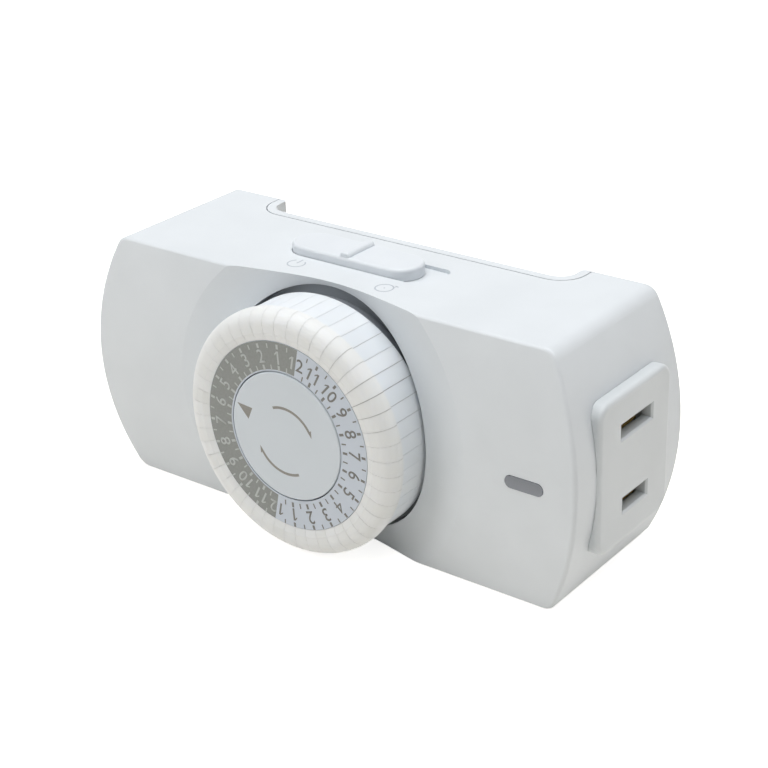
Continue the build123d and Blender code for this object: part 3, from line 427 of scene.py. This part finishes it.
def glyph(text, angle, height, shift=0.0):
    # one or two digits with their tops outward, as flat faces in mm
    turn = Matrix.Rotation(-math.radians(angle), 3, "Z")
    meshes = []
    for place, digit in enumerate(text):
        step = shift + (place - (len(text) - 1) / 2) * ring["digitPitch"]
        shape = digitFace(digit, height)
        for vert in shape.verts:
            vert.co = turn @ Vector((vert.co.x + step, vert.co.y + ring["digitAt"], 0))
        mesh = bpy.data.meshes.new("digit")
        shape.to_mesh(mesh)
        shape.free()
        meshes.append(mesh)
    return meshes


def glyphsPiece(name, meshes, material):
    shape = bmesh.new()
    for mesh in meshes:
        shape.from_mesh(mesh)
        bpy.data.meshes.remove(mesh)
    addFilm(name, shape, secondColour, material, "dial")


def onGreyHalf(angle):
    return (twelveAt - angle) % 360 < 180


def printTicks():
    dark, pale = [], []
    for half in range(halfHours):
        if half % (halfHours // 2) == 0:  # the edge of the grey half marks noon and midnight
            continue
        angle = twelveAt - half * halfHour
        width = ring["hourMm"] if half % 2 == 0 else ring["halfMm"]
        side = pale if onGreyHalf(angle) else dark
        side += [bar(angle, *ring["outerTick"], width), bar(angle, *ring["innerTick"], width)]
    printPiece("darkTickPrint", dark, secondColour, digitInk, "dial")
    printPiece("paleTickPrint", pale, secondColour, paleInk, "dial")


def printDigits():
    dark, pale = [], []
    for hour in range(halfHours // 2):
        angle = twelveAt - hour * 2 * halfHour
        if hour % 12:
            side = pale if onGreyHalf(angle) else dark
            side += glyph(str(hour % 12), angle, ring["digitMm"])
        else:  # a twelve stands astride the edge of the grey half
            first, second = (pale, dark) if hour == 0 else (dark, pale)
            first += glyph("1", angle, ring["digitMm"], -ring["digitPitch"] / 2)
            second += glyph("2", angle, ring["digitMm"], ring["digitPitch"] / 2)
    glyphsPiece("darkDigitPrint", dark, digitInk)
    glyphsPiece("paleDigitPrint", pale, paleInk)


greyHalf = arcBand(twelveAt - 180, twelveAt, ring["inner"], ring["outer"], ring["greySteps"])
printPiece("greyHalfPrint", greyHalf, onFront(plateY), greyHalfInk, "dial")
printTicks()
printDigits()

# each arrow is the angles of its tail and its tip
disc = {"centre": (-0.08, -0.83), "radius": 5.75, "stroke": 0.45, "arrows": ((-22.6, 69.8), (155.4, 248.6)),
        "steps": 24, "headDegrees": 11, "barbDegrees": 1, "barb": 0.34,
        "triangle": ((-9.72, 3.5), (-6.62, 3.24), (-7.55, 1.12))}
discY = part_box("centre_disc")[0].y / mm


def printDisc():
    outlines = []
    inner, outer = disc["radius"] - disc["stroke"] / 2, disc["radius"] + disc["stroke"] / 2
    for tail, tip in disc["arrows"]:
        neck = tip - disc["headDegrees"]
        outlines += arcBand(tail, neck, inner, outer, disc["steps"])
        outlines.append([polar(neck, inner), polar(tip, disc["radius"]),
                         polar(neck - disc["barbDegrees"], outer + disc["barb"]), polar(neck, outer)])
    centre = Vector(disc["centre"])
    outlines = [[centre + p for p in outline] for outline in outlines]
    printPiece("discMarkPrint", [disc["triangle"], *outlines], onFront(discY), markInk, "housing")


printDisc()

# each sign is a ring, whole or broken, and strokes given by their two ends and their width
signs = {"radius": 1.45, "line": 0.25,
         "power": {"centre": (-9.6, -17.65), "ring": (38, 322, 40), "strokes": [((0, 0.1), (0, 1.75), 0.25)]},
         "clock": {"centre": (8.6, -18.3), "ring": (0, 360, 48),
                   "strokes": [((-0.12, 0), (0.12, 0), 0.24), ((1.02, 1.02), (1.35, 1.35), 0.25),
                               ((1.05, 1.6), (1.7, 1.35), 0.25)]}}
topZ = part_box("front_housing")[1].z / mm


def strokeBetween(first, last, width):
    along = (last - first).normalized()
    across = Vector((-along.y, along.x)) * width / 2
    return [first - across, last - across, last + across, first + across]


def printSigns():
    inner, outer = signs["radius"] - signs["line"] / 2, signs["radius"] + signs["line"] / 2
    outlines = []
    for sign in (signs["power"], signs["clock"]):
        centre = Vector(sign["centre"])
        start, end, steps = sign["ring"]
        outlines += [[centre + p for p in quad] for quad in arcBand(start, end, inner, outer, steps)]
        for first, last, width in sign["strokes"]:
            outlines.append(strokeBetween(centre + Vector(first), centre + Vector(last), width))
    printPiece("switchIconPrint", outlines, onTop(topZ), iconInk, "housing")


printSigns()
print("marks printed")

floorLook = {"colour": "#F2EEE7", "size": 6.0, "gapMm": 0.05, "glow": (0.78, 1.0), "reach": (0.25, 0.9)}


def backgroundRays(tree):
    # rays that look straight at the backdrop, or at it in a gloss or through a window
    paths = addNode(tree, "ShaderNodeLightPath").outputs
    seen = addNode(tree, "ShaderNodeMath", {0: paths["Is Camera Ray"], 1: paths["Is Glossy Ray"]},
                   operation="MAXIMUM")
    return addNode(tree, "ShaderNodeMath", {0: seen, 1: paths["Is Transmission Ray"]}, operation="MAXIMUM")


def paleFloor():
    bottom = cadBounds[0].z - floorLook["gapMm"] * mm
    mesh = bpy.data.meshes.new("floor")
    half = floorLook["size"] / 2
    corners = [(-half, -half, bottom), (half, -half, bottom), (half, half, bottom), (-half, half, bottom)]
    mesh.from_pydata(corners, [], [(0, 1, 2, 3)])
    floor = bpy.data.objects.new("floor", mesh)
    bpy.context.scene.collection.objects.link(floor)
    material = bpy.data.materials.new("paleFloor")
    material.use_nodes = True
    tree = material.node_tree
    tree.nodes.clear()
    matt = addNode(tree, "ShaderNodeBsdfDiffuse", {"Color": hexColour(floorLook["colour"])})
    # far from the object the floor runs out into the white backdrop
    place = addNode(tree, "ShaderNodeTexCoord").outputs["Object"]
    away = addNode(tree, "ShaderNodeVectorMath", {0: place}, operation="LENGTH").outputs["Value"]
    level = addNode(tree, "ShaderNodeMapRange", {"Value": away, **span("From", floorLook["reach"]),
                                                 **span("To", floorLook["glow"])})
    glow = addNode(tree, "ShaderNodeMath", {0: backgroundRays(tree), 1: level}, operation="MULTIPLY")
    light = addNode(tree, "ShaderNodeEmission", {"Color": (1, 1, 1, 1), "Strength": glow})
    both = addNode(tree, "ShaderNodeAddShader", {0: matt, 1: light})
    addNode(tree, "ShaderNodeOutputMaterial", {"Surface": both})
    mesh.materials.append(material)


paleFloor()

lamps = {
    "topSoftbox": {"place": (0.0, -0.03, 0.75), "aim": (0, -0.01, 0), "size": 0.9, "watts": 7.6},
    "frontSoftbox": {"place": (-0.55, -0.75, 0.35), "aim": (0, -0.02, 0), "size": 0.6, "watts": 2.5},
    "endSoftbox": {"place": (0.74, -0.08, 0.45), "aim": (0.03, -0.01, 0), "size": 0.5, "watts": 0.75},
    "backSoftbox": {"place": (0.6, 0.7, 0.3), "aim": (0, 0, 0), "size": 0.6, "watts": 0.7},
}
for name, lamp in lamps.items():
    data = bpy.data.lights.new(name, "AREA")
    data.shape = "SQUARE"
    data.size = lamp["size"]
    data.energy = lamp["watts"]
    light = bpy.data.objects.new(name, data)
    light.location = lamp["place"]
    light.rotation_euler = (Vector(lamp["aim"]) - Vector(lamp["place"])).to_track_quat("-Z", "Y").to_euler()
    bpy.context.scene.collection.objects.link(light)

worldLook = {"strength": (0.01, 1), "colour": "#FFFFFF"}  # on the object, and as the backdrop
world = bpy.data.worlds.new("studio")
bpy.context.scene.world = world
world.use_nodes = True
tree = world.node_tree
tree.nodes.clear()
strength = addNode(tree, "ShaderNodeMapRange", {"Value": backgroundRays(tree),
                                                **span("To", worldLook["strength"])})
background = addNode(tree, "ShaderNodeBackground", {"Color": hexColour(worldLook["colour"]),
                                                    "Strength": strength})
addNode(tree, "ShaderNodeOutputWorld", {"Surface": background})

camera = {"place": (0.1647, -0.2200, 0.1260), "azimuth": 38.223, "elevation": 25.277, "roll": -2.067,
          "lens": 83.35, "shiftX": 0.01336, "shiftY": -0.0010, "nearest": 0.01}
cameraData = bpy.data.cameras.new("camera")
cameraData.lens = camera["lens"]
cameraData.sensor_width = 36
cameraData.shift_x = camera["shiftX"]
cameraData.shift_y = camera["shiftY"]
cameraData.clip_start = camera["nearest"]
cameraObject = bpy.data.objects.new("camera", cameraData)
cameraObject.location = camera["place"]
azimuth, elevation = math.radians(camera["azimuth"]), math.radians(camera["elevation"])
level = math.cos(elevation)
back = Vector((math.sin(azimuth) * level, -math.cos(azimuth) * level, math.sin(elevation)))
cameraObject.rotation_mode = "QUATERNION"
roll = Matrix.Rotation(math.radians(camera["roll"]), 3, "Z").to_quaternion()
cameraObject.rotation_quaternion = (-back).to_track_quat("-Z", "Y") @ roll
bpy.context.scene.collection.objects.link(cameraObject)
bpy.context.scene.camera = cameraObject
bpy.context.scene.view_settings.view_transform = "Standard"
print("stage set")
